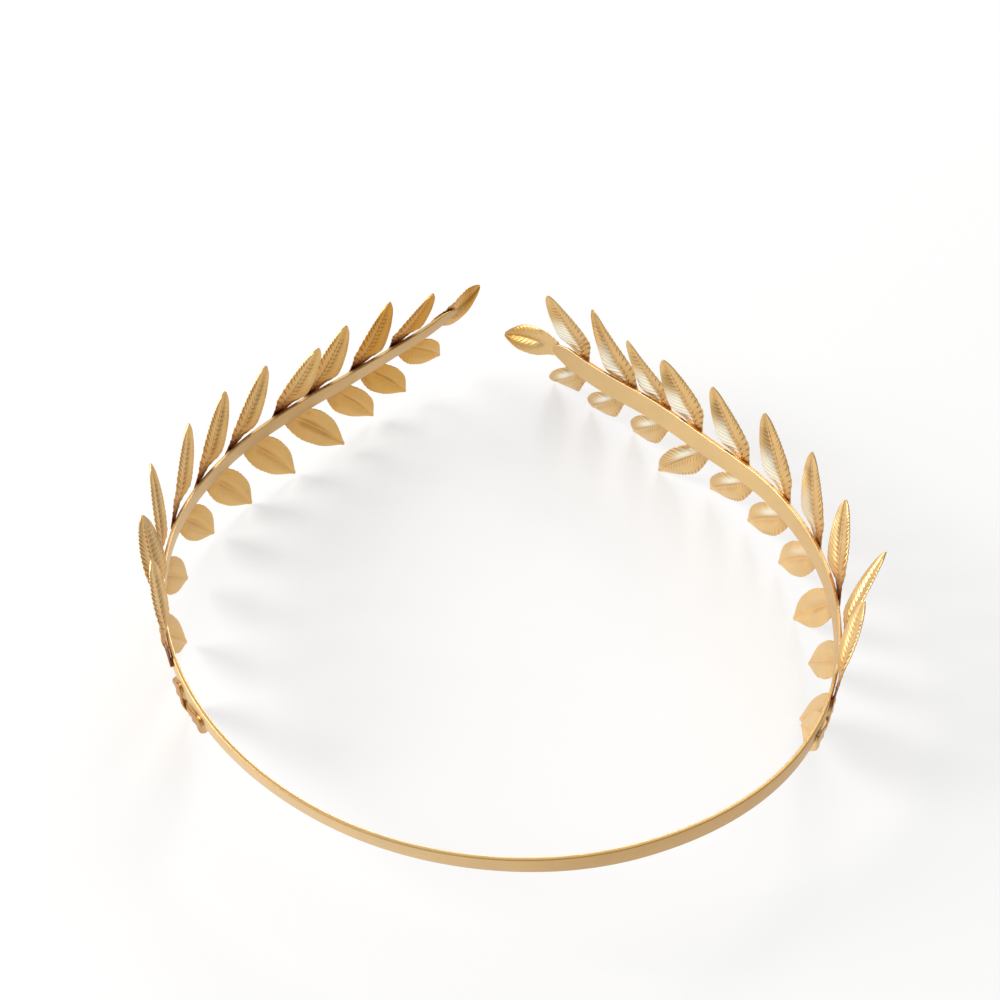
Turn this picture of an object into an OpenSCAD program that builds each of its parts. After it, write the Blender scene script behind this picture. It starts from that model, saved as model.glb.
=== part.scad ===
// Leaf tiara: an open ring of flat strip, plain at the back, with two rows of
// leaves fixed behind it on each side and one leaf closing each end.
// Units are mm. +Z is up, +Y is the front of the head, +X is the wearer's right.
// The origin is the middle of the underside of the whole outline.

/* [Band] */
// Height of the flat strip across its face
band_h = 5.8; // [5:0.2:6.6]
// Thickness of the flat strip
band_t = 0.9; // [0.8:0.1:1.4]
// Angle from the middle of the back at which the left end stops
left_end = 169.5; // [168:0.5:170]
// Angle from the middle of the back at which the right end stops
right_end = 171.5; // [170:0.5:171.5]
// Angle over which each end narrows
end_taper = 3.5; // [2.5:0.5:5]
// Height of the strip at its narrowed end
end_h = 3.4; // [2.6:0.2:3.6]

/* [Leaf] */
// Length of a side leaf from the end of its stalk to its tip
leaf_len = 23.3; // [20:0.1:25]
// Width of a side leaf at its widest
leaf_w = 8.9; // [6:0.1:9.5]
// Length of the leaf at each end of the ring
end_leaf_len = 17; // [14:0.5:19]
// Width of the leaf at each end of the ring
end_leaf_w = 8; // [6:0.1:9]
// Thickness of the leaf sheet
leaf_t = 0.5; // [0.4:0.05:0.7]
// Angle that each half of a leaf is folded up from its midrib
leaf_fold = 10; // [5:1:20]
// Rise of each half of a leaf between midrib and rim, as a share of its width
leaf_dome = 0.12; // [0:0.01:0.2]
// Upward bend of an upper leaf's tip, as a share of its length
upper_hook = 0.06; // [0:0.01:0.08]
// Downward bend of a lower leaf's tip, as a share of its length
lower_hook = 0.05; // [0:0.01:0.08]

/* [Joint] */
// Gap between the band and the leaf stalks that lie along its outer face
joint_gap = 0.25; // [0.25:0.05:0.5]
// Height of an upper stalk on the band, as a share of the band's height
upper_seat = 0.5; // [0.5:0.01:0.6]
// Height of a lower stalk on the band, as a share of the band's height
lower_seat = 0.34; // [0.28:0.01:0.4]
// Share of a leaf's length that lies flat along the band, before it leans or rolls
flat_share = 0.24; // [0.24:0.01:0.3]
// Share of a leaf's length from its root at which the fold begins
fold_start = 0.22; // [0.22:0.01:0.3]

/* [Rest] */
// Angle that the front of the ring is raised by the leaf tips it rests on
rest_pitch = -0.7; // [-3:0.1:3]
// Angle that the left side of the ring is raised
rest_roll = -1; // [-4:0.1:4]

/* [Hidden] */
// Node that is drawn, or all of them

// Band, a row for each station from the left end through the back to the right end.
// Columns: angle from the back (left negative), radius, rise, outward lean in degrees
band_rows = [
    [-172, 75.5, 6.4, -17],
    [-160, 68.6, 3.5, -19],
    [-145, 64.3, 1.1, -16.5],
    [-130, 64.1, 0, -13],
    [-110, 67.7, -0.2, -13],
    [-85, 72.6, 1.5, -6],
    [-55, 76.6, 1, 2.5],
    [-25, 78.3, -0.1, 12],
    [0, 80.2, 0, 10.5],
    [25, 81.5, -1.4, 4],
    [55, 82.2, -2.2, -1],
    [85, 76.4, -2.1, -1.5],
    [110, 68.9, -3, 0.5],
    [130, 62.9, -3.6, 3.5],
    [145, 62.3, -3.4, 5],
    [160, 64.1, -2.9, 5.5],
    [172, 69.6, -1.5, -0.5]
];

// Leaf outlines. Columns: share of the length, then the share of the widest width
// for an upper leaf, a lower leaf and an end leaf
leaf_rows = [
    [0, 0.22, 0.22, 0.5],
    [0.07, 0.33, 0.34, 0.6],
    [0.14, 0.47, 0.48, 0.74],
    [0.22, 0.68, 0.67, 0.87],
    [0.31, 0.91, 0.84, 0.96],
    [0.41, 1, 0.97, 1],
    [0.51, 0.94, 1, 1],
    [0.61, 0.83, 0.94, 0.95],
    [0.71, 0.71, 0.84, 0.86],
    [0.8, 0.57, 0.65, 0.7],
    [0.88, 0.43, 0.41, 0.5],
    [0.95, 0.26, 0.18, 0.3],
    [1, 0.06, 0.06, 0.12]
];

// Columns of the leaf tables below
AT = 0;
SPLAY = 1;
LEAN = 2;
ROLL = 3;
LENGTH = 4;
HOOK = 5;

// Upper row of the left branch, from its end to the back.
// Columns: angle from the back, splay up from the band, lean outwards, roll; all in degrees;
// share of the full length
left_upper = [
    [154.4, 60, -2, 4, 0.95],
    [143.9, 56, 6, 14, 0.98],
    [131.8, 56, 4, 21, 0.98],
    [123, 56, 0, 21, 0.98],
    [109.5, 52, 5, 24, 1.03],
    [98.9, 57, 4, 29, 1.05],
    [88.5, 58, 2, 21, 1.07],
    [76.6, 47, 5, 24, 1.12],
    [68.8, 56, 3, 67, 1.03],
    [59.3, 52, -4, 48, 1.02]
];

// Lower row of the left branch, from its end to the back.
// Columns: angle from the back, splay up from the band, lean outwards, roll; all in degrees;
// share of the full length
left_lower = [
    [155.9, -48, -4, 7, 0.98],
    [146.6, -52, -10, -4, 1],
    [137.5, -52, -9, -12, 1.04],
    [125.8, -45, -18, 14, 1.03],
    [115.1, -50, -18, 3, 1.01],
    [103.8, -50, -16, -12, 1.03],
    [92.5, -49, -12, -12, 1],
    [78.4, -48, -12, -7, 0.99],
    [67.8, -60, -14, -8, 1.02],
    [55.8, -66, -10, -17, 1.03],
    [48.4, -49, -14, 0, 1]
];

// Upper row of the right branch, from its end to the back.
// Columns: angle from the back, splay up from the band, lean outwards, roll; all in degrees;
// share of the full length
right_upper = [
    [163.6, 56, -17, 4, 1.04],
    [149.9, 44, 0, -15, 1.06],
    [140.9, 48, -10, -17, 0.98],
    [132.1, 57, -13, 21, 1.03],
    [118.9, 54, -6, 9, 1.01],
    [107.2, 56, -4, 25, 1.05],
    [96, 58, 0, 22, 1.04],
    [84.1, 50, 2, 38, 1.04],
    [73.8, 50, 13, 24, 1.09],
    [64.5, 53, 1, 44, 1.04]
];

// Lower row of the right branch, from its end to the back.
// Columns: angle from the back, splay up from the band, lean outwards, roll; all in degrees;
// share of the full length
right_lower = [
    [162.8, -51, 19, -50, 1.02],
    [152.6, -50, 21, -30, 0.94],
    [140.2, -48, 16, -22, 0.97],
    [128.4, -48, 1, -33, 0.97],
    [116.2, -43, 6, -23, 0.96],
    [105.5, -43, 0, -10, 0.98],
    [95.5, -47, -4, -8, 0.99],
    [86.1, -58, -12, -16, 1.01],
    [74.1, -54, -13, -4, 1],
    [64.8, -62, -17, -8, 1],
    [58.7, -48, -18, -11, 1]
];

// The leaf at the end of each branch, left then right. Columns as above,
// then the sideways bend of its tip as a share of its length
end_rows = [
    [163.9, -13, 8, 33, 1.08, 0.04],
    [170.2, -8, -6, 28, 0.91, -0.1]
];

// Angle between two sections of the band
band_step = 3;
// Half width of the angle over which a direction along the band is measured
look = 0.5;
// Exponent of the bend of a leaf away from the band
bend_power = 1.2;
// Exponent of the twist of a leaf about its midrib
twist_power = 0.6;
// Exponent of the sideways bend of a leaf's tip
hook_power = 3;
// Height of an end leaf's stalk on the band, as a share of the band's height
end_seat = 0.5;
// Share of the length over which the fold of a leaf sets in
fold_run = 0.2;
// Places across a leaf, from its lower rim to its upper rim
across = [-1, -0.5, 0, 0.5, 1];

LEFT = -1;
RIGHT = 1;
// Kind of leaf, which is also its column in the outlines
UPPER = 1;
LOWER = 2;
END = 3;

function unit(v) = v / norm(v);
function band_len(i) = band_rows[i + 1][0] - band_rows[i][0];
function band_rate(c, i) = (band_rows[i + 1][c] - band_rows[i][c]) / band_len(i);
function band_slope(c, i) =
    i == 0 ? band_rate(c, 0)
    : i == len(band_rows) - 1 ? band_rate(c, i - 1)
    : (band_len(i) * band_rate(c, i - 1) + band_len(i - 1) * band_rate(c, i))
      / (band_len(i) + band_len(i - 1));
function band_row(a, i = 0) =
    i == len(band_rows) - 2 || a < band_rows[i + 1][0] ? i : band_row(a, i + 1);
function ease(c, i, t) =
    (2 * pow(t, 3) - 3 * pow(t, 2) + 1) * band_rows[i][c]
    + (pow(t, 3) - 2 * pow(t, 2) + t) * band_len(i) * band_slope(c, i)
    + (3 * pow(t, 2) - 2 * pow(t, 3)) * band_rows[i + 1][c]
    + (pow(t, 3) - pow(t, 2)) * band_len(i) * band_slope(c, i + 1);
function band_at(c, a) =
    let (i = band_row(a))
    ease(c, i, (a - band_rows[i][0]) / band_len(i));

// Middle of the band's lower edge, and the directions along, out of and up the band
function spine(a) = [band_at(1, a) * sin(a), -band_at(1, a) * cos(a), band_at(2, a)];
function along(a) =
    unit(spine(min(a + look, band_rows[len(band_rows) - 1][0])) - spine(max(a - look, band_rows[0][0])));
function flat_out(a) = unit(cross(along(a), [0, 0, 1]));
function outward(a) =
    flat_out(a) * cos(band_at(3, a)) - cross(flat_out(a), along(a)) * sin(band_at(3, a));
function upward(a) =
    cross(flat_out(a), along(a)) * cos(band_at(3, a)) + flat_out(a) * sin(band_at(3, a));

// Height of the band, which narrows at each end
function height_at(a) =
    let (left = min(1, (a + left_end) / end_taper), right = min(1, (right_end - a) / end_taper))
    end_h + (band_h - end_h) * min(left, right);
function band_section(a) = [
    for (corner = [[-1, -1], [1, -1], [1, 1], [-1, 1]])
        spine(a) + outward(a) * corner.x * band_t / 2
        + upward(a) * (band_h / 2 + corner.y * height_at(a) / 2)
];
band_angles = concat(
    [-left_end, -left_end + end_taper / 2],
    [for (a = [-left_end + end_taper : band_step : right_end - end_taper - 0.2]) a],
    [right_end - end_taper, right_end - end_taper / 2, right_end]
);
band_points = [for (a = band_angles) for (p = band_section(a)) p];

// One leaf: the row says where its stalk is, how it is turned and its length
function leaf_points(side, kind, row, full_length, width) =
    let (
        a = side * row[AT],
        length = full_length * row[LENGTH],
        seat = kind == UPPER ? upper_seat : kind == LOWER ? lower_seat : end_seat,
        hook = kind == UPPER ? upper_hook : kind == LOWER ? -lower_hook : row[HOOK],
        out = outward(a),
        fore = along(a) * side * cos(row[SPLAY]) + upward(a) * sin(row[SPLAY]),
        rise = upward(a) * cos(row[SPLAY]) - along(a) * side * sin(row[SPLAY]),
        root = spine(a) + upward(a) * band_h * seat + out * (band_t / 2 + joint_gap + leaf_t / 2)
    )
    [for (r = leaf_rows)
        let (
            free = max(0, (r[0] - flat_share) / (1 - flat_share)),
            mid = root + fore * length * r[0] * cos(row[LEAN])
                + out * length * sin(row[LEAN]) * pow(free, bend_power)
                + rise * hook * length * pow(r[0], hook_power),
            turn = row[ROLL] * pow(free, twist_power),
            wide = rise * cos(turn) + out * sin(turn),
            back = out * cos(turn) - rise * sin(turn),
            half = r[kind] * width / 2,
            set_in = min(1, max(0, (r[0] - fold_start) / fold_run))
        )
        for (face = [-1, 1])
            for (v = face < 0 ? across : [for (i = [len(across) - 1 : -1 : 0]) across[i]])
                mid + wide * half * v
                - back * half * set_in * (tan(leaf_fold) * abs(v) + 4 * leaf_dome * abs(v) * (1 - abs(v)))
                + back * face * leaf_t / 2
    ];

// Triangles of a tube of sections with n points each, closed at both ends.
// A section runs forward along its inner face and back along its outer face
function tube_faces(count, n) = concat(
    [for (i = [0 : n / 2 - 2]) [i, i + 1, n - 2 - i, n - 1 - i]],
    [for (s = [0 : count - 2]) for (i = [0 : n - 1])
        let (j = (i + 1) % n) [s * n + i, (s + 1) * n + j, s * n + j]],
    [for (s = [0 : count - 2]) for (i = [0 : n - 1])
        let (j = (i + 1) % n) [s * n + i, (s + 1) * n + i, (s + 1) * n + j]],
    [for (i = [0 : n / 2 - 2])
        let (first = (count - 1) * n) [first + n - 1 - i, first + n - 2 - i, first + i + 1, first + i]]
);
function mirrored(faces) = [for (f = faces) [for (i = [len(f) - 1 : -1 : 0]) f[i]]];

// Turned as it rests, then moved so that the origin is under the middle of the outline
function rested(p) =
    let (
        q = [p.x, p.y * cos(rest_pitch) - p.z * sin(rest_pitch), p.y * sin(rest_pitch) + p.z * cos(rest_pitch)]
    )
    [q.x * cos(rest_roll) + q.z * sin(rest_roll), q.y, q.z * cos(rest_roll) - q.x * sin(rest_roll)];

function side_points(side, kind, rows) =
    [for (row = rows) leaf_points(side, kind, row, leaf_len, leaf_w)];
left_upper_points = side_points(LEFT, UPPER, left_upper);
left_lower_points = side_points(LEFT, LOWER, left_lower);
right_upper_points = side_points(RIGHT, UPPER, right_upper);
right_lower_points = side_points(RIGHT, LOWER, right_lower);
left_end_points = leaf_points(LEFT, END, end_rows[0], end_leaf_len, end_leaf_w);
right_end_points = leaf_points(RIGHT, END, end_rows[1], end_leaf_len, end_leaf_w);
side_rows = concat(left_upper_points, left_lower_points, right_upper_points, right_lower_points);
outline_points = [
    for (p = concat([for (leaf = side_rows) for (q = leaf) q], band_points, left_end_points, right_end_points))
        rested(p)
];
shift = [
    (min([for (p = outline_points) p.x]) + max([for (p = outline_points) p.x])) / 2,
    (min([for (p = outline_points) p.y]) + max([for (p = outline_points) p.y])) / 2,
    min([for (p = outline_points) p.z])
];
function placed(points) = [for (p = points) rested(p) - shift];

band_gold = [0.84, 0.66, 0.38];
leaf_gold = [0.88, 0.69, 0.37];

module leaf_solid(side, points) {
    faces = tube_faces(len(leaf_rows), 2 * len(across));
    color(leaf_gold) polyhedron(points = placed(points), faces = side < 0 ? mirrored(faces) : faces);
}

module band() {
    color(band_gold) polyhedron(points = placed(band_points), faces = tube_faces(len(band_angles), 4));
}

module left_upper_leaf_01() {
    leaf_solid(LEFT, left_upper_points[0]);
}

module left_upper_leaf_02() {
    leaf_solid(LEFT, left_upper_points[1]);
}

module left_upper_leaf_03() {
    leaf_solid(LEFT, left_upper_points[2]);
}

module left_upper_leaf_04() {
    leaf_solid(LEFT, left_upper_points[3]);
}

module left_upper_leaf_05() {
    leaf_solid(LEFT, left_upper_points[4]);
}

module left_upper_leaf_06() {
    leaf_solid(LEFT, left_upper_points[5]);
}

module left_upper_leaf_07() {
    leaf_solid(LEFT, left_upper_points[6]);
}

module left_upper_leaf_08() {
    leaf_solid(LEFT, left_upper_points[7]);
}

module left_upper_leaf_09() {
    leaf_solid(LEFT, left_upper_points[8]);
}

module left_upper_leaf_10() {
    leaf_solid(LEFT, left_upper_points[9]);
}

module left_lower_leaf_01() {
    leaf_solid(LEFT, left_lower_points[0]);
}

module left_lower_leaf_02() {
    leaf_solid(LEFT, left_lower_points[1]);
}

module left_lower_leaf_03() {
    leaf_solid(LEFT, left_lower_points[2]);
}

module left_lower_leaf_04() {
    leaf_solid(LEFT, left_lower_points[3]);
}

module left_lower_leaf_05() {
    leaf_solid(LEFT, left_lower_points[4]);
}

module left_lower_leaf_06() {
    leaf_solid(LEFT, left_lower_points[5]);
}

module left_lower_leaf_07() {
    leaf_solid(LEFT, left_lower_points[6]);
}

module left_lower_leaf_08() {
    leaf_solid(LEFT, left_lower_points[7]);
}

module left_lower_leaf_09() {
    leaf_solid(LEFT, left_lower_points[8]);
}

module left_lower_leaf_10() {
    leaf_solid(LEFT, left_lower_points[9]);
}

module left_lower_leaf_11() {
    leaf_solid(LEFT, left_lower_points[10]);
}

module right_upper_leaf_01() {
    leaf_solid(RIGHT, right_upper_points[0]);
}

module right_upper_leaf_02() {
    leaf_solid(RIGHT, right_upper_points[1]);
}

module right_upper_leaf_03() {
    leaf_solid(RIGHT, right_upper_points[2]);
}

module right_upper_leaf_04() {
    leaf_solid(RIGHT, right_upper_points[3]);
}

module right_upper_leaf_05() {
    leaf_solid(RIGHT, right_upper_points[4]);
}

module right_upper_leaf_06() {
    leaf_solid(RIGHT, right_upper_points[5]);
}

module right_upper_leaf_07() {
    leaf_solid(RIGHT, right_upper_points[6]);
}

module right_upper_leaf_08() {
    leaf_solid(RIGHT, right_upper_points[7]);
}

module right_upper_leaf_09() {
    leaf_solid(RIGHT, right_upper_points[8]);
}

module right_upper_leaf_10() {
    leaf_solid(RIGHT, right_upper_points[9]);
}

module right_lower_leaf_01() {
    leaf_solid(RIGHT, right_lower_points[0]);
}

module right_lower_leaf_02() {
    leaf_solid(RIGHT, right_lower_points[1]);
}

module right_lower_leaf_03() {
    leaf_solid(RIGHT, right_lower_points[2]);
}

module right_lower_leaf_04() {
    leaf_solid(RIGHT, right_lower_points[3]);
}

module right_lower_leaf_05() {
    leaf_solid(RIGHT, right_lower_points[4]);
}

module right_lower_leaf_06() {
    leaf_solid(RIGHT, right_lower_points[5]);
}

module right_lower_leaf_07() {
    leaf_solid(RIGHT, right_lower_points[6]);
}

module right_lower_leaf_08() {
    leaf_solid(RIGHT, right_lower_points[7]);
}

module right_lower_leaf_09() {
    leaf_solid(RIGHT, right_lower_points[8]);
}

module right_lower_leaf_10() {
    leaf_solid(RIGHT, right_lower_points[9]);
}

module right_lower_leaf_11() {
    leaf_solid(RIGHT, right_lower_points[10]);
}

module left_end_leaf() {
    leaf_solid(LEFT, left_end_points);
}

module right_end_leaf() {
    leaf_solid(RIGHT, right_end_points);
}

band();
left_upper_leaf_01();
left_upper_leaf_02();
left_upper_leaf_03();
left_upper_leaf_04();
left_upper_leaf_05();
left_upper_leaf_06();
left_upper_leaf_07();
left_upper_leaf_08();
left_upper_leaf_09();
left_upper_leaf_10();
left_lower_leaf_01();
left_lower_leaf_02();
left_lower_leaf_03();
left_lower_leaf_04();
left_lower_leaf_05();
left_lower_leaf_06();
left_lower_leaf_07();
left_lower_leaf_08();
left_lower_leaf_09();
left_lower_leaf_10();
left_lower_leaf_11();
right_upper_leaf_01();
right_upper_leaf_02();
right_upper_leaf_03();
right_upper_leaf_04();
right_upper_leaf_05();
right_upper_leaf_06();
right_upper_leaf_07();
right_upper_leaf_08();
right_upper_leaf_09();
right_upper_leaf_10();
right_lower_leaf_01();
right_lower_leaf_02();
right_lower_leaf_03();
right_lower_leaf_04();
right_lower_leaf_05();
right_lower_leaf_06();
right_lower_leaf_07();
right_lower_leaf_08();
right_lower_leaf_09();
right_lower_leaf_10();
right_lower_leaf_11();
left_end_leaf();
right_end_leaf();
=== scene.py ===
"""Leaf tiara: the looks of the part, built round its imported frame."""

import math

import bpy
import numpy as np
from mathutils import Matrix, Vector


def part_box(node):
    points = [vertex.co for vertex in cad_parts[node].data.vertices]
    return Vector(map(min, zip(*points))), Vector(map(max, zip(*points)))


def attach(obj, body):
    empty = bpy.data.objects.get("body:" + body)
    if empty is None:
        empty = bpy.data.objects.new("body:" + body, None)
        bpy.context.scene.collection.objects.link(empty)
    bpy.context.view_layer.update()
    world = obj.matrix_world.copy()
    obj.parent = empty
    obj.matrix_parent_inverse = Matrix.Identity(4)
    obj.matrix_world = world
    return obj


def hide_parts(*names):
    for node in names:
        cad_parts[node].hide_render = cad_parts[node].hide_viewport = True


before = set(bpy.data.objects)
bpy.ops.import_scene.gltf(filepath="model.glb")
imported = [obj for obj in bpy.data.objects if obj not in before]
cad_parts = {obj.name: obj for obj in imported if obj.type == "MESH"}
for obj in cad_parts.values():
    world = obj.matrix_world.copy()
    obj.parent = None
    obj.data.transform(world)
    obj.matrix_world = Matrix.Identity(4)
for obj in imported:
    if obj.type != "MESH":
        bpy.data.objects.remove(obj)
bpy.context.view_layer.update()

MM = 0.001
LEFT, RIGHT = -1, 1
# Kind of leaf, which is also its column in the outlines
UPPER, LOWER, END = 1, 2, 3

# ---- The part's own sizes, in millimetres and degrees, as in its source ----
BAND_H, BAND_T = 5.8, 0.9
LEFT_END, RIGHT_END, END_TAPER, END_H = 169.5, 171.5, 3.5, 3.4
LEAF_LEN, LEAF_W = 23.3, 8.9
END_LEAF_LEN, END_LEAF_W = 17.0, 8.0
LEAF_T, LEAF_FOLD, LEAF_DOME = 0.5, 10.0, 0.12
UPPER_HOOK, LOWER_HOOK, HOOK_POWER = 0.06, 0.05, 3
JOINT_GAP, SEATS = 0.25, {UPPER: 0.5, LOWER: 0.34, END: 0.5}
FLAT_SHARE, FOLD_START, FOLD_RUN = 0.24, 0.22, 0.2  # shares of a leaf's length
BEND_POWER, TWIST_POWER = 1.2, 0.6
REST_PITCH, REST_ROLL = -0.7, -1.0
BAND_STEP = 3.0  # angle between two sections of the source's band
LOOK = 0.5  # half of the angle over which a direction along the band is measured

# Band. Columns: angle from the back (left negative), radius, rise, outward lean
BAND_ROWS = np.array(
    [
        [-172, 75.5, 6.4, -17],
        [-160, 68.6, 3.5, -19],
        [-145, 64.3, 1.1, -16.5],
        [-130, 64.1, 0, -13],
        [-110, 67.7, -0.2, -13],
        [-85, 72.6, 1.5, -6],
        [-55, 76.6, 1, 2.5],
        [-25, 78.3, -0.1, 12],
        [0, 80.2, 0, 10.5],
        [25, 81.5, -1.4, 4],
        [55, 82.2, -2.2, -1],
        [85, 76.4, -2.1, -1.5],
        [110, 68.9, -3, 0.5],
        [130, 62.9, -3.6, 3.5],
        [145, 62.3, -3.4, 5],
        [160, 64.1, -2.9, 5.5],
        [172, 69.6, -1.5, -0.5],
    ],
    float,
)
# Leaf outlines. Columns: share of the length, then the share of the widest width
# for an upper leaf, a lower leaf and an end leaf
LEAF_ROWS = np.array(
    [
        [0, 0.22, 0.22, 0.5],
        [0.07, 0.33, 0.34, 0.6],
        [0.14, 0.47, 0.48, 0.74],
        [0.22, 0.68, 0.67, 0.87],
        [0.31, 0.91, 0.84, 0.96],
        [0.41, 1, 0.97, 1],
        [0.51, 0.94, 1, 1],
        [0.61, 0.83, 0.94, 0.95],
        [0.71, 0.71, 0.84, 0.86],
        [0.8, 0.57, 0.65, 0.7],
        [0.88, 0.43, 0.41, 0.5],
        [0.95, 0.26, 0.18, 0.3],
        [1, 0.06, 0.06, 0.12],
    ],
    float,
)
# Leaves, from the end of the branch to the back.
# Columns: angle from the back, splay, outward lean, roll, share of the full length
LEFT_UPPER = [
    (154.4, 60, -2, 4, 0.95),
    (143.9, 56, 6, 14, 0.98),
    (131.8, 56, 4, 21, 0.98),
    (123, 56, 0, 21, 0.98),
    (109.5, 52, 5, 24, 1.03),
    (98.9, 57, 4, 29, 1.05),
    (88.5, 58, 2, 21, 1.07),
    (76.6, 47, 5, 24, 1.12),
    (68.8, 56, 3, 67, 1.03),
    (59.3, 52, -4, 48, 1.02),
]
LEFT_LOWER = [
    (155.9, -48, -4, 7, 0.98),
    (146.6, -52, -10, -4, 1),
    (137.5, -52, -9, -12, 1.04),
    (125.8, -45, -18, 14, 1.03),
    (115.1, -50, -18, 3, 1.01),
    (103.8, -50, -16, -12, 1.03),
    (92.5, -49, -12, -12, 1),
    (78.4, -48, -12, -7, 0.99),
    (67.8, -60, -14, -8, 1.02),
    (55.8, -66, -10, -17, 1.03),
    (48.4, -49, -14, 0, 1),
]
RIGHT_UPPER = [
    (163.6, 56, -17, 4, 1.04),
    (149.9, 44, 0, -15, 1.06),
    (140.9, 48, -10, -17, 0.98),
    (132.1, 57, -13, 21, 1.03),
    (118.9, 54, -6, 9, 1.01),
    (107.2, 56, -4, 25, 1.05),
    (96, 58, 0, 22, 1.04),
    (84.1, 50, 2, 38, 1.04),
    (73.8, 50, 13, 24, 1.09),
    (64.5, 53, 1, 44, 1.04),
]
RIGHT_LOWER = [
    (162.8, -51, 19, -50, 1.02),
    (152.6, -50, 21, -30, 0.94),
    (140.2, -48, 16, -22, 0.97),
    (128.4, -48, 1, -33, 0.97),
    (116.2, -43, 6, -23, 0.96),
    (105.5, -43, 0, -10, 0.98),
    (95.5, -47, -4, -8, 0.99),
    (86.1, -58, -12, -16, 1.01),
    (74.1, -54, -13, -4, 1),
    (64.8, -62, -17, -8, 1),
    (58.7, -48, -18, -11, 1),
]
# End leaves, left and right: the same columns, then the sideways bend of the tip
END_ROWS = [
    (163.9, -13, 8, 33, 1.08, 0.04),
    (170.2, -8, -6, 28, 0.91, -0.1),
]


def unit(v):
    return v / np.linalg.norm(v, axis=-1, keepdims=True)


def fade(x, low, high):
    """0 below low, 1 above high, smooth between."""
    t = np.clip((x - low) / (high - low), 0, 1)
    return t * t * (3 - 2 * t)


def smooth_table(xs, ys, x):
    """Cubic through the rows of a table, with slopes weighted by the spacing of the rows."""
    rate, gap = np.diff(ys) / np.diff(xs), np.diff(xs)
    slope = np.empty(len(xs))
    slope[0], slope[-1] = rate[0], rate[-1]
    slope[1:-1] = (gap[1:] * rate[:-1] + gap[:-1] * rate[1:]) / (gap[1:] + gap[:-1])
    i = np.clip(np.searchsorted(xs, x, side="right") - 1, 0, len(xs) - 2)
    t = (x - xs[i]) / gap[i]
    return (
        (2 * t**3 - 3 * t**2 + 1) * ys[i]
        + (t**3 - 2 * t**2 + t) * gap[i] * slope[i]
        + (3 * t**2 - 2 * t**3) * ys[i + 1]
        + (t**3 - t**2) * gap[i] * slope[i + 1]
    )


def spine(angle):
    radius = smooth_table(BAND_ROWS[:, 0], BAND_ROWS[:, 1], angle)
    rise = smooth_table(BAND_ROWS[:, 0], BAND_ROWS[:, 2], angle)
    a = np.radians(angle)
    return np.stack([radius * np.sin(a), -radius * np.cos(a), rise], -1)


def band_frame(angle):
    """Middle of the band's lower edge, and the directions along, out of and up the band."""
    angle = np.atleast_1d(np.asarray(angle, float))
    first, last = BAND_ROWS[0, 0], BAND_ROWS[-1, 0]
    along = unit(spine(np.minimum(angle + LOOK, last)) - spine(np.maximum(angle - LOOK, first)))
    flat = unit(np.cross(along, [0.0, 0.0, 1.0]))
    up = np.cross(flat, along)
    lean = np.radians(smooth_table(BAND_ROWS[:, 0], BAND_ROWS[:, 3], angle))[:, None]
    outward = flat * np.cos(lean) - up * np.sin(lean)
    upward = up * np.cos(lean) + flat * np.sin(lean)
    return spine(angle), along, outward, upward


def turned(v):
    """A direction or an unshifted point, turned as the tiara rests."""
    v = np.asarray(v, float)
    p, r = math.radians(REST_PITCH), math.radians(REST_ROLL)
    y = v[..., 1] * math.cos(p) - v[..., 2] * math.sin(p)
    z = v[..., 1] * math.sin(p) + v[..., 2] * math.cos(p)
    x = v[..., 0]
    return np.stack([x * math.cos(r) + z * math.sin(r), y, z * math.cos(r) - x * math.sin(r)], -1)


def leaf_spine(side, kind, row, full_length, width):
    """The leaf's sections as the part's source has them: middle, width, outer and half width."""
    share = LEAF_ROWS[:, 0]
    at, splay, lean, roll, length_share = row[:5]
    length = full_length * length_share
    hook = {UPPER: UPPER_HOOK, LOWER: -LOWER_HOOK}.get(kind, row[-1])
    root, along, outward, upward = (x[0] for x in band_frame(side * at))
    splay, lean = math.radians(splay), math.radians(lean)
    fore = along * side * math.cos(splay) + upward * math.sin(splay)
    rise = upward * math.cos(splay) - along * side * math.sin(splay)
    root = root + upward * BAND_H * SEATS[kind] + outward * (BAND_T / 2 + JOINT_GAP + LEAF_T / 2)
    free = np.clip((share - FLAT_SHARE) / (1 - FLAT_SHARE), 0, 1)
    middle = (
        root
        + np.outer(length * share * math.cos(lean), fore)
        + np.outer(length * math.sin(lean) * free**BEND_POWER, outward)
        + np.outer(hook * length * share**HOOK_POWER, rise)
    )
    turn = np.radians(roll) * free**TWIST_POWER
    wide = np.outer(np.cos(turn), rise) + np.outer(np.sin(turn), outward)
    back = np.outer(np.cos(turn), outward) - np.outer(np.sin(turn), rise)
    return length, middle, wide, back, LEAF_ROWS[:, kind] * width / 2


def band_height(angle):
    left = np.minimum(1, (angle + LEFT_END) / END_TAPER)
    right = np.minimum(1, (RIGHT_END - angle) / END_TAPER)
    return END_H + (BAND_H - END_H) * np.minimum(left, right)


# The source moves everything so that the origin is under the middle of the outline.
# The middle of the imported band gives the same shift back.
end_angles = np.concatenate(
    [
        [-LEFT_END, -LEFT_END + END_TAPER / 2],
        np.arange(-LEFT_END + END_TAPER, RIGHT_END - END_TAPER - 0.2 + 1e-9, BAND_STEP),
        [RIGHT_END - END_TAPER, RIGHT_END - END_TAPER / 2, RIGHT_END],
    ]
)
root, along, outward, upward = band_frame(end_angles)
half_tall = band_height(end_angles)[:, None] / 2
corners = np.concatenate(
    [
        root + outward * (x * BAND_T / 2) + upward * (BAND_H / 2 + y * half_tall)
        for x in (-1, 1)
        for y in (-1, 1)
    ]
)
corners = turned(corners)
band_low, band_high = (np.array(v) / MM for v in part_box("band"))
SHIFT = (corners.min(0) + corners.max(0)) / 2 - (band_low + band_high) / 2


def placed(points):
    return (turned(points) - SHIFT) * MM


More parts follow.
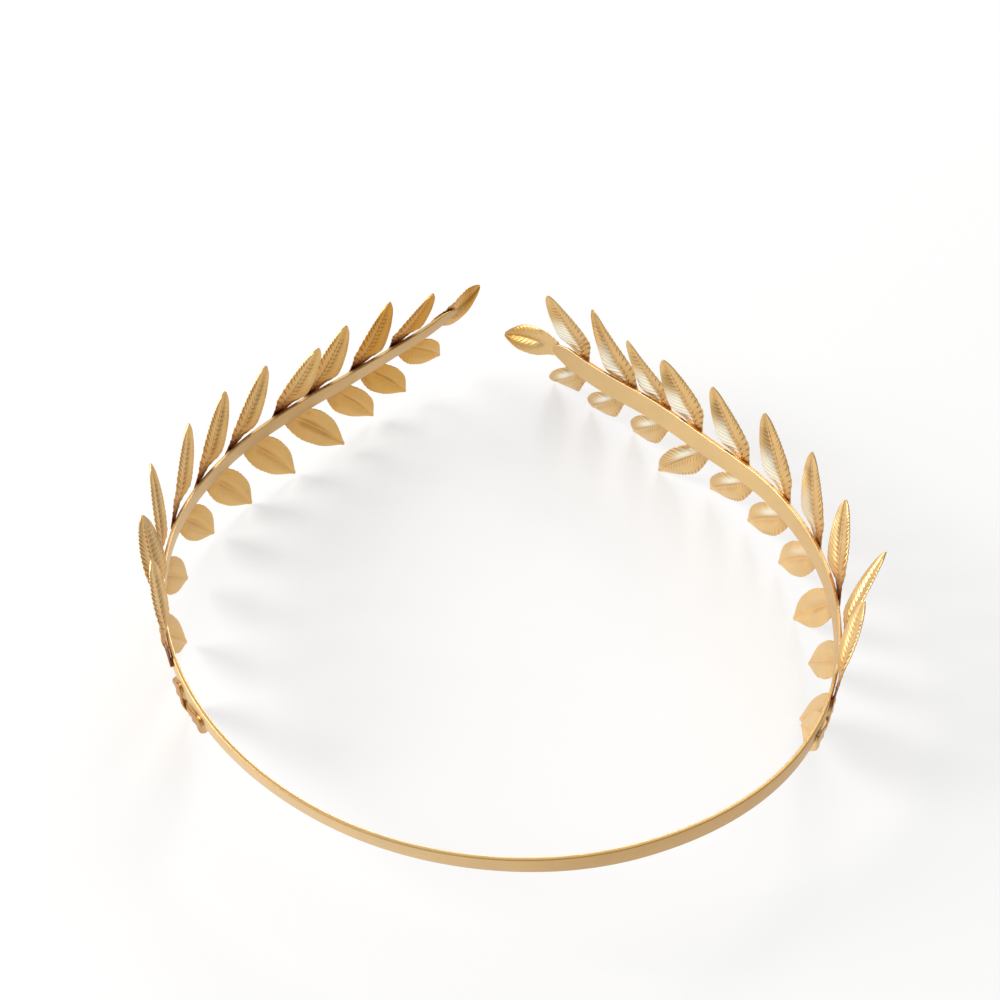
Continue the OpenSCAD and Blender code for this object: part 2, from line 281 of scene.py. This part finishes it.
# ---- Mesh helpers ----
def add_mesh(name, points, quads, ends=(), values=None, uv=None):
    """A smooth-shaded mesh from points, quads and end polygons, faced outwards."""
    q = points[quads]
    volume = np.einsum("ij,ij->i", np.cross(q[:, 1] - q[:, 0], q[:, 2] - q[:, 0]), q[:, 0]).sum()
    volume += np.einsum("ij,ij->i", np.cross(q[:, 2] - q[:, 0], q[:, 3] - q[:, 0]), q[:, 0]).sum()
    faces = quads.tolist() + [list(e) for e in ends]
    if volume < 0:
        faces = [f[::-1] for f in faces]
    mesh = bpy.data.meshes.new(name)
    mesh.from_pydata(points.tolist(), [], faces)
    for key, data in (values or {}).items():
        layer = mesh.attributes.new(key, "FLOAT", "POINT")
        layer.data.foreach_set("value", np.asarray(data, np.float32).ravel())
    if uv is not None:
        corner = np.empty(len(mesh.loops), np.int32)
        mesh.loops.foreach_get("vertex_index", corner)
        layer = mesh.uv_layers.new(name="Strip")
        layer.data.foreach_set("uv", uv[corner].astype(np.float32).ravel())
    mesh.polygons.foreach_set("use_smooth", np.ones(len(faces), bool))
    mesh.update()
    made = bpy.data.objects.new(name, mesh)
    bpy.context.scene.collection.objects.link(made)
    return made


def ring_quads(count, n):
    """Quads of a tube of count rings with n points each."""
    s, i = np.meshgrid(np.arange(count - 1), np.arange(n), indexing="ij")
    j = (i + 1) % n
    return np.stack([s * n + i, s * n + j, (s + 1) * n + j, (s + 1) * n + i], -1).reshape(-1, 4)


def ring_ends(count, n):
    return [range(n - 1, -1, -1), range((count - 1) * n, count * n)]


# Painted light and shade of the band. Columns: angle from the back; 0 darkest to 1 palest, painted
# shade and light along the strip; how dark the painted shade on its upper edge is; how bright the
# painted highlight on the inner rim of that edge is
BAND_LOOKS = np.array(
    [
        [-172, -1.2, 0.0, 0.0],
        [-163, -0.3, 0.0, 0.0],
        [-152, 0.25, 0.0, 0.0],
        [-120, 0.0, 0.0, 0.1],
        [-90, 0.45, 0.2, 0.4],
        [-40, 0.9, 0.5, 1.0],
        [-5, 0.5, 0.1, 0.8],
        [35, -0.5, 0.0, 1.0],
        [75, 0.3, 0.2, 0.3],
        [110, 0.8, 0.65, 0.0],
        [138, 0.8, 1.0, 0.35],
        [163, 0.7, 1.0, 0.8],
        [172, 0.4, 0.2, 0.3],
    ],
    float,
)


# ---- Leaves ----
RIB_PITCH = 1.15  # along the midrib, mm
RIBBED_SHARE = 0.98  # share of a leaf's length that the ribs are spaced over
# One rib, from the root's side to the tip's. Columns: share of the pitch, height from -1 to 1
RIB_SHAPE = np.array(
    [
        [0, 0.72],
        [0.08, 0.95],
        [0.24, 0.6],
        [0.42, 0.16],
        [0.6, -0.28],
        [0.76, -0.7],
        [0.86, -0.98],
        [0.93, -0.3],
    ]
)
RIB_HEIGHT = 0.18  # half of the height between groove and ridge, mm
# Looks of each row. Columns: depth of the ribs; how much the ribs run right across the lower
# and the upper half, instead of being rows of beads; how strongly the ribs of the lower and
# the upper half carry a painted highlight; how dark the painted shade at the root is; how pale
# the tone is elsewhere, which is painted light and shade
ROW_LOOKS = {
    (LEFT, UPPER): (1.2, 0.1, 0.1, 0.0, 0.0, 1.0, 0.5),
    (LEFT, LOWER): (0.12, 1.0, 1.0, 0.0, 0.0, 0.3, 0.35),
    (RIGHT, UPPER): (1.0, 1.0, 0.0, 1.0, 0.0, 0.15, 0.65),
    (RIGHT, LOWER): (0.8, 0.15, 0.8, 0.0, 1.0, 0.2, 0.8),
    (LEFT, END): (0.4, 0.6, 0.6, 0.0, 0.0, 0.6, 0.0),
    (RIGHT, END): (0.25, 0.6, 0.6, 0.0, 0.0, 0.0, 0.3),
}
FRONT_FROM, FRONT_TO = 80, 112  # angles over which a leaf's looks turn into those of the front
END_FROM, END_TO = 125, 150  # the same for the painted shade, darker and more orange, near the end of the left branch
END_SHADE_WASH = 0.5  # how orange the painted shade makes the leaves there
BACK_FROM, BACK_TO = 65, 100  # the same for the painted light that makes leaves paler near the back of the head
BACK_PALER = 0.4  # how much paler that painted light makes them
JOINED_TONE = 0.75  # tone of an end leaf where it meets the strip
BEADS = ((0.15, 0.09), (0.84, 0.13))  # rows of beads: where across a half leaf, and how wide
# How far a rib runs forward for each mm out from the midrib
RIB_SLANT = math.tan(math.radians(42))
SERRATION = 0.13  # how far the rim is notched between two ribs, mm
RIM_T = 0.3  # thickness of the sheet at the rim, mm
RIM_ROUND = 0.09  # how far the faces stop short of the rim, mm
ROOT_ROUND = 0.04  # share of the length over which the root is rounded off
SOLDER_BITE = 0.04  # how far the soldered stalk reaches into the band, mm
MIDRIB_DEPTHS = {UPPER: 0.12, LOWER: 0.02, END: 0.07}
SOFT_FOLD = 0.16  # height of the soft folds that fan out from the root of a lower leaf, mm
ACROSS = np.array([0, 0.035, 0.075, 0.13, 0.22, 0.34, 0.47, 0.6, 0.73, 0.85, 0.94, 1.0])


def leaf_piece(name, side, kind, row, full_length, width):
    length, middle, wide, back, half = leaf_spine(side, kind, row, full_length, width)
    ribbed, low_bars, high_bars, low_glint, high_glint, root_shade, pale = ROW_LOOKS[side, kind]
    share = LEAF_ROWS[:, 0]
    to_front = fade(row[0], FRONT_FROM, FRONT_TO)
    to_end = fade(row[0], END_FROM, END_TO) if side == LEFT else 0

    def at(values, s):
        return smooth_table(share, values, s)

    def at3(values, s):
        return np.stack([at(values[:, k], s) for k in range(3)], -1)

    ribs = round(RIBBED_SHARE * length / RIB_PITCH)
    u = np.append((np.arange(ribs)[:, None] + RIB_SHAPE[:, 0]).ravel(), ribs) / ribs
    shape = np.append(np.tile(RIB_SHAPE[:, 1], ribs), RIB_SHAPE[0, 1])
    v = np.concatenate([-ACROSS[:0:-1], ACROSS])
    uu, vv = np.meshgrid(u, v, indexing="ij")
    away = np.abs(vv)
    # the grid runs out along the ribs, which lean towards the tip
    slant = RIB_SLANT * away * at(half, uu) / length * np.sqrt(np.sin(np.pi * uu).clip(0))
    s = np.minimum(uu + slant, 1)
    half_here = at(half, s) * np.sqrt(1 - (1 - np.clip(s / ROOT_ROUND, 0, 1)) ** 2).clip(0.3)
    worked = fade(s, 0.1, 0.19) * (1 - fade(s, 0.78, 0.93))
    beads = sum(np.exp(-(((away - where) / size) ** 2)) for where, size in BEADS).clip(0, 1)
    if side == RIGHT:
        low_bars, high_bars = 0.2 + (low_bars - 0.2) * to_front, high_bars * to_front
        ribbed = ribbed * (to_front if kind == LOWER else 1)
    bars = np.where(vv < 0, low_bars, high_bars)
    ridge = shape[:, None] * worked * (bars + (1 - bars) * (0.1 + 0.9 * beads))
    # where the ribs carry a painted highlight
    glint = fade(away, 0.06, 0.16) * fade(s, 0.08, 0.16) * (1 - fade(s, 0.48, 0.72))
    if kind == LOWER:
        glint = np.exp(-(((s - 0.38) / 0.17) ** 2) - ((away - 0.42) / 0.24) ** 2)
    glint = glint * np.where(vv < 0, low_glint, high_glint)
    shade_wash = np.zeros_like(s)
    if side == LEFT:
        # painted shade makes the leaves nearest the end of this branch deepest in colour
        pale = pale * (1 - to_end)
        if kind == UPPER:
            # and painted light makes the upper ones palest nearest the back of the head
            pale = pale + BACK_PALER * (1 - fade(row[0], BACK_FROM, BACK_TO))
        shade_wash = shade_wash + (kind != LOWER) * END_SHADE_WASH * to_end
    else:
        # only the leaves at the front of this branch carry the painted highlight on their ribs and
        # are ribbed right across
        glint = glint * to_front
        if kind == UPPER:
            # painted shade at the root, growing towards the back of the head
            root_shade = root_shade + (0.9 - root_shade) * (1 - to_front)
            pale = pale * (1.25 - 0.25 * to_front)
    # the tone, which changes from row to row and leaf to leaf, is painted light and shade
    tone = np.full_like(s, pale)
    if kind == END:
        # the end leaf takes up the strip's colour where it meets the strip
        joined = 1 - fade(s, 0.35, 0.8)
        tone, shade_wash = tone + (JOINED_TONE - tone) * joined, shade_wash * (1 - joined)
    # a lower leaf is the same leaf turned over, so its ribs are seen from their other face
    face = 1 if kind == LOWER else -1
    rib = face * RIB_HEIGHT * ribbed * ridge * fade(away, 0.05, 0.2)
    rib = rib * (1 - 0.3 * away) * (1 - 0.72 * glint)
    notch = SERRATION * (0.5 + 0.5 * shape[:, None]) * worked * away**3
    fold = fade(s, FOLD_START, FOLD_START + FOLD_RUN)
    raised = math.tan(math.radians(LEAF_FOLD)) * away + 4 * LEAF_DOME * away * (1 - away)
    height = half_here * fold * raised
    groove = MIDRIB_DEPTHS[kind] * fade(s, 0.1, 0.25) * (1 - fade(s, 0.9, 0.99))
    crease = groove * (np.exp(-((away / 0.1) ** 2)) - 1.5 * np.exp(-((away / 0.035) ** 2)))
    if kind == LOWER:
        folds = SOFT_FOLD * np.cos(2.6 * np.pi * away)
        crease = crease + folds * fade(s, 0.1, 0.3) * (1 - fade(s, 0.5, 0.95))
    centre, w, b = at3(middle, s), unit(at3(wide, s)), unit(at3(back, s))
    sideways = np.sign(vv) * (away * half_here - notch)
    base = centre + w * sideways[..., None] + b * (rib - height)[..., None]
    thick = LEAF_T + (RIM_T - LEAF_T) * np.maximum(fade(away, 0.3, 1.0), fade(s, 0.8, 1.0))
    # the stalk's inner face reaches the band, to which it is soldered
    solder = (JOINT_GAP + SOLDER_BITE) * (1 - fade(s, 0.05, 0.11))
    pull = w * (np.sign(vv) * np.where(away > 0.999, RIM_ROUND, 0.0))[..., None]
    inner = base - pull + b * (crease - thick / 2 - solder)[..., None]
    outer = base - pull + b * (crease + thick / 2)[..., None]
    rings = np.concatenate([inner, base[:, -1:], outer[:, ::-1], base[:, :1]], 1)

    def spread(values):
        return np.concatenate([values, values[:, -1:], values[:, ::-1], values[:, :1]], 1).ravel()

    count, n = rings.shape[:2]
    return add_mesh(
        name + "_sheet",
        placed(rings.reshape(-1, 3)),
        ring_quads(count, n),
        ring_ends(count, n),
        {
            "share": spread(s),
            "ridge": spread(ridge * ribbed),
            "glint": spread(glint),
            "root_shade": np.full(count * n, root_shade),
            "tone": spread(tone),
            "shade_wash": spread(shade_wash),
        },
    )


LEAVES = []
for side, side_name, upper_rows, lower_rows in (
    (LEFT, "left", LEFT_UPPER, LEFT_LOWER),
    (RIGHT, "right", RIGHT_UPPER, RIGHT_LOWER),
):
    for kind, kind_name, rows in ((UPPER, "upper", upper_rows), (LOWER, "lower", lower_rows)):
        for number, row in enumerate(rows, 1):
            leaf_name = f"{side_name}_{kind_name}_leaf_{number:02d}"
            LEAVES.append((leaf_name, side, kind, row, LEAF_LEN, LEAF_W))
    end_row = END_ROWS[side > 0]
    LEAVES.append((f"{side_name}_end_leaf", side, END, end_row, END_LEAF_LEN, END_LEAF_W))

leaf_pieces = {}
for name, *leaf in LEAVES:
    piece = leaf_piece(name, *leaf)
    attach(piece, "root")
    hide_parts(name)
    leaf_pieces[name] = piece

# ---- Band: the same strip in finer steps, with its long edges rounded ----
EDGE_ROUND = 0.22  # radius of the long edges, mm
CORNER_STEPS = 4
FINE_STEP = 0.75  # angle between two sections
END_SECTIONS = 24  # sections over the taper of each end
TIP_T = 0.3  # thickness of the strip at its ends, mm
LEFT_TIP_ROUND, RIGHT_TIP_ROUND = 3.2, 1.5  # angles over which each end is rounded off
TIP_THINS = 7.0  # angle over which an end thins out

angles = np.unique(
    np.concatenate(
        [
            np.arange(-LEFT_END, RIGHT_END, FINE_STEP),
            -LEFT_END + END_TAPER * np.linspace(0, 1, END_SECTIONS) ** 2,
            RIGHT_END - END_TAPER * np.linspace(0, 1, END_SECTIONS) ** 2,
        ]
    )
)
root, along, outward, upward = band_frame(angles)
tall = band_height(angles)
turns = np.radians(np.linspace(0, 90, CORNER_STEPS + 1))
profile = []
for x, y, start in ((1, 1, 0), (-1, 1, 90), (-1, -1, 180), (1, -1, 270)):
    for t in turns + math.radians(start):
        profile.append((x, y, math.cos(t), math.sin(t)))
profile = np.array(profile)
# each end thins out onto the leaf behind it, and its corners are rounded
to_end = np.minimum(angles + LEFT_END, RIGHT_END - angles)
tip_round = np.where(angles < 0, LEFT_TIP_ROUND, RIGHT_TIP_ROUND)
tall = tall * np.sqrt(1 - (1 - np.clip(to_end / tip_round, 0, 1)) ** 2).clip(0.25)
thinned = (TIP_T + (BAND_T - TIP_T) * fade(to_end, 0, TIP_THINS)) / BAND_T
rounded = np.minimum(EDGE_ROUND, 0.45 * tall)[:, None]
px = profile[:, 0] * (BAND_T / 2 - rounded) + profile[:, 2] * rounded
px = BAND_T / 2 - thinned[:, None] * (BAND_T / 2 - px)
py = profile[:, 1] * (tall[:, None] / 2 - rounded) + profile[:, 3] * rounded
rings = root[:, None] + outward[:, None] * px[..., None]
rings = rings + upward[:, None] * (BAND_H / 2 + py)[..., None]
count, n = rings.shape[:2]
inner_side, turn_up = profile[:, 0] < 0, profile[:, 3]
# painted light and shade along the strip, painted shade on its upper edge, painted highlight on
# that edge's inner rim
tone, edge_shade, edge_highlight = (np.interp(angles, BAND_LOOKS[:, 0], BAND_LOOKS[:, k]) for k in (1, 2, 3))
run = np.concatenate([[0], np.cumsum(np.linalg.norm(np.diff(root, axis=0), axis=1))])
# where across the upper edge the painted shade lies
edge_shade_side = np.where(inner_side, fade(turn_up, 0.92, 1.0), fade(turn_up, 0.4, 0.8))
# where across the upper edge the painted highlight lies
edge_highlight_side = inner_side * fade(turn_up, 0.1, 0.4) * (1 - fade(turn_up, 0.92, 1.0))
band_piece = add_mesh(
    "band_strip",
    placed(rings.reshape(-1, 3)),
    ring_quads(count, n),
    ring_ends(count, n),
    {
        "tone": np.repeat(tone, n),
        "edge_shade": np.outer(edge_shade, edge_shade_side).ravel(),
        "edge": np.outer(edge_highlight, edge_highlight_side).ravel(),
    },
    np.stack([np.repeat(run, n), py.ravel()], -1),
)
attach(band_piece, "root")
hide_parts("band")


# ---- Materials ----
# deep and pale golds; each piece's tone mixes them into painted light and shade
BAND_DEEP, BAND_PALE = (0.60, 0.38, 0.15, 1), (0.89, 0.64, 0.32, 1)
LEAF_DEEP, LEAF_PALE = (0.70, 0.40, 0.09, 1), (0.91, 0.66, 0.34, 1)
# orange and brown of painted shade near the stalks, and the white of the painted highlight on the
# ribs
SHADE_ORANGE, ROOT_SHADE_BROWN, GLINT_WHITE = (0.60, 0.26, 0.03, 1), (0.22, 0.05, 0.005, 1), (1.0, 0.97, 0.82, 1)
# painted highlight on the band's upper edge, and the orange of the painted shade on it
EDGE_HIGHLIGHT, EDGE_SHADE_ORANGE = (1.0, 0.86, 0.56, 1), (0.42, 0.16, 0.015, 1)
GROOVE_SHADE = (0.55, 0.44, 0.32, 1)


def nodes_of(name):
    material = bpy.data.materials.new(name)
    material.use_nodes = True
    tree = material.node_tree
    shader = next(x for x in tree.nodes if x.type == "BSDF_PRINCIPLED")
    return material, tree, shader


def add(tree, kind, **settings):
    node = tree.nodes.new(kind)
    for key, value in settings.items():
        if key in node.inputs:
            node.inputs[key].default_value = value
        else:
            setattr(node, key, value)
    return node


def attribute(tree, name):
    return add(tree, "ShaderNodeAttribute", attribute_name=name).outputs["Fac"]


def spread_over(tree, source, low, high, to_low, to_high):
    """The source's values from low to high, turned into values from to_low to to_high."""
    ends = {"From Min": low, "From Max": high, "To Min": to_low, "To Max": to_high}
    node = add(tree, "ShaderNodeMapRange", **ends)
    tree.links.new(source, node.inputs["Value"])
    return node.outputs[0]


def blend(tree, kind, amount, first, second):
    """Two colours mixed or multiplied; each may be a socket or a fixed colour."""
    node = add(tree, "ShaderNodeMix", data_type="RGBA", blend_type=kind)
    for place, value in ((0, amount), (6, first), (7, second)):
        if isinstance(value, bpy.types.NodeSocket):
            tree.links.new(value, node.inputs[place])
        else:
            node.inputs[place].default_value = value
    return node.outputs[2]


def noise(tree, place, scale, detail):
    node = add(tree, "ShaderNodeTexNoise", Scale=scale, Detail=detail)
    tree.links.new(place, node.inputs["Vector"])
    return node.outputs["Fac"]


def times(tree, first, second):
    node = add(tree, "ShaderNodeMath", operation="MULTIPLY")
    tree.links.new(first, node.inputs[0])
    tree.links.new(second, node.inputs[1])
    return node.outputs[0]


def raise_grain(tree, shader, height, strength):
    bump = add(tree, "ShaderNodeBump", Strength=strength, Distance=0.00005)
    tree.links.new(height, bump.inputs["Height"])
    tree.links.new(bump.outputs[0], shader.inputs["Normal"])


def leaf_gold():
    material, tree, shader = nodes_of("leaf_gold_satin")
    shader.inputs["Metallic"].default_value = 1.0
    place = add(tree, "ShaderNodeTexCoord").outputs["Object"]
    cloud = noise(tree, place, 260.0, 3.0)
    share, root_shade, ridge = (attribute(tree, x) for x in ("share", "root_shade", "ridge"))
    # the tone mixes deep and pale gold into painted light and shade from leaf to leaf
    gold = blend(tree, "MIX", attribute(tree, "tone"), LEAF_DEEP, LEAF_PALE)
    # painted shade: an orange wash on some leaves, deeper orange near the stalk, dark right at it,
    # and darker in the grooves
    gold = blend(tree, "MIX", attribute(tree, "shade_wash"), gold, SHADE_ORANGE)
    for low, high, colour in ((0.12, 0.62, SHADE_ORANGE), (0.15, 0.32, ROOT_SHADE_BROWN)):
        near_root = times(tree, spread_over(tree, share, low, high, 1.0, 0.0), root_shade)
        gold = blend(tree, "MIX", near_root, gold, colour)
    gold = blend(tree, "MULTIPLY", 1.0, gold, spread_over(tree, cloud, 0.3, 0.7, 0.9, 1.0))
    glint = attribute(tree, "glint")
    groove = spread_over(tree, ridge, -0.6, -0.2, 1.0, 0.0)
    groove = times(tree, groove, spread_over(tree, glint, 0.0, 1.0, 1.0, 0.3))
    gold = blend(tree, "MIX", groove, gold, blend(tree, "MULTIPLY", 1.0, gold, GROOVE_SHADE))
    # the ribs of some halves carry a painted white highlight, between grooves that stay gold
    bright = times(tree, glint, spread_over(tree, ridge, -0.95, -0.5, 0.0, 1.0))
    gold = blend(tree, "MIX", bright, gold, GLINT_WHITE)
    tree.links.new(gold, shader.inputs["Base Color"])
    satin = spread_over(tree, cloud, 0.3, 0.7, 0.38, 0.48)
    polish = spread_over(tree, glint, 0.0, 1.0, 1.0, 0.8)
    tree.links.new(times(tree, satin, polish), shader.inputs["Roughness"])
    raise_grain(tree, shader, noise(tree, place, 2600.0, 2.0), 0.12)
    return material


def band_gold():
    material, tree, shader = nodes_of("band_gold_satin")
    shader.inputs["Metallic"].default_value = 1.0
    place = add(tree, "ShaderNodeTexCoord").outputs["Object"]
    stretch = add(tree, "ShaderNodeMapping")
    stretch.inputs["Scale"].default_value = (0.35, 9.0, 1.0)
    strip = add(tree, "ShaderNodeUVMap", uv_map="Strip").outputs[0]
    tree.links.new(strip, stretch.inputs["Vector"])
    lines = noise(tree, stretch.outputs[0], 1.0, 4.0)
    # the tone mixes deep and pale gold into painted light and shade along the strip
    gold = blend(tree, "MIX", attribute(tree, "tone"), BAND_DEEP, BAND_PALE)
    cloud = noise(tree, place, 120.0, 3.0)
    gold = blend(tree, "MULTIPLY", 1.0, gold, spread_over(tree, cloud, 0.3, 0.7, 0.93, 1.0))
    # painted shade on the upper edge
    gold = blend(tree, "MIX", attribute(tree, "edge_shade"), gold, EDGE_SHADE_ORANGE)
    # painted highlight on the inner rim of the upper edge
    gold = blend(tree, "MIX", attribute(tree, "edge"), gold, EDGE_HIGHLIGHT)
    tree.links.new(gold, shader.inputs["Base Color"])
    tree.links.new(spread_over(tree, lines, 0.3, 0.7, 0.38, 0.48), shader.inputs["Roughness"])
    raise_grain(tree, shader, lines, 0.08)
    return material


leaf_material, band_material = leaf_gold(), band_gold()
for piece in leaf_pieces.values():
    piece.data.materials.append(leaf_material)
band_piece.data.materials.append(band_material)
for node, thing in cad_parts.items():
    thing.data.materials.clear()
    thing.data.materials.append(band_material if node == "band" else leaf_material)

# ---- Floor, light and camera ----
FLOOR_REACH, FLOOR_DROP = 3.0, 0.0001  # half of its side, and how far below the tiara it lies
floor_mesh = bpy.data.meshes.new("floor")
around = ((-1, -1), (1, -1), (1, 1), (-1, 1))
floor_corners = [(x * FLOOR_REACH, y * FLOOR_REACH, 0) for x, y in around]
floor_mesh.from_pydata(floor_corners, [], [(0, 1, 2, 3)])
floor = bpy.data.objects.new("floor", floor_mesh)
floor.location.z = -FLOOR_DROP
bpy.context.scene.collection.objects.link(floor)
floor_material, tree, shader = nodes_of("floor_pale")
shader.inputs["Base Color"].default_value = (0.36, 0.36, 0.36, 1)
shader.inputs["Emission Color"].default_value = (1, 1, 1, 1)
shader.inputs["Emission Strength"].default_value = 0.6
shader.inputs["Roughness"].default_value = 0.9
shader.inputs["Specular IOR Level"].default_value = 0.1
floor.data.materials.append(floor_material)


def soft_box(name, place, aim, size, power, colour=(1, 1, 1)):
    light = bpy.data.lights.new(name, "AREA")
    light.shape, light.size, light.energy, light.color = "SQUARE", size, power, colour
    made = bpy.data.objects.new(name, light)
    made.location = place
    made.rotation_mode = "QUATERNION"
    made.rotation_quaternion = (Vector(aim) - Vector(place)).to_track_quat("-Z", "Y")
    bpy.context.scene.collection.objects.link(made)


MIDDLE = (0, 0, 0.02)
soft_box("key", (-1.03, -0.06, 0.6), MIDDLE, 0.5, 12.0, (1.0, 0.98, 0.95))
soft_box("top", (0.05, 0.38, 0.92), MIDDLE, 0.8, 2.2)
soft_box("front_low", (0.15, 0.8, 0.62), MIDDLE, 0.3, 2.4)

world = bpy.data.worlds.new("soft_white")
bpy.context.scene.world = world
world.use_nodes = True
world.node_tree.nodes["Background"].inputs[0].default_value = (1, 1, 1, 1)
world.node_tree.nodes["Background"].inputs[1].default_value = 0.4
bpy.context.scene.view_settings.view_transform = "Standard"
bpy.context.scene.view_settings.look = "None"

FOCAL_PX, IMAGE_PX = 1941.0, 1000.0
ELEVATION, TILT = math.radians(48), math.radians(3.97)
# Distance and aim in mm, before the ring is turned as it rests
DISTANCE, AIM = 450.0, np.array([0.2, 17.8, 0.0])
ahead = np.array([0, math.cos(ELEVATION), -math.sin(ELEVATION)])
eye = AIM - DISTANCE * ahead
level = np.array([1.0, 0, 0])
above = np.cross(level, ahead)
right = math.cos(TILT) * level + math.sin(TILT) * above
over = -math.sin(TILT) * level + math.cos(TILT) * above
axes = [turned(x) for x in (right, over, -ahead)]
lens = bpy.data.cameras.new("camera")
lens.sensor_width, lens.lens = 36.0, 36.0 * FOCAL_PX / IMAGE_PX
lens.clip_start, lens.clip_end = 0.01, 20.0
camera = bpy.data.objects.new("camera", lens)
pose = Matrix.Identity(4)
for k in range(3):
    for i in range(3):
        pose[i][k] = axes[k][i]
for i in range(3):
    pose[i][3] = placed(eye)[i]
camera.matrix_world = pose
bpy.context.scene.collection.objects.link(camera)
bpy.context.scene.camera = camera
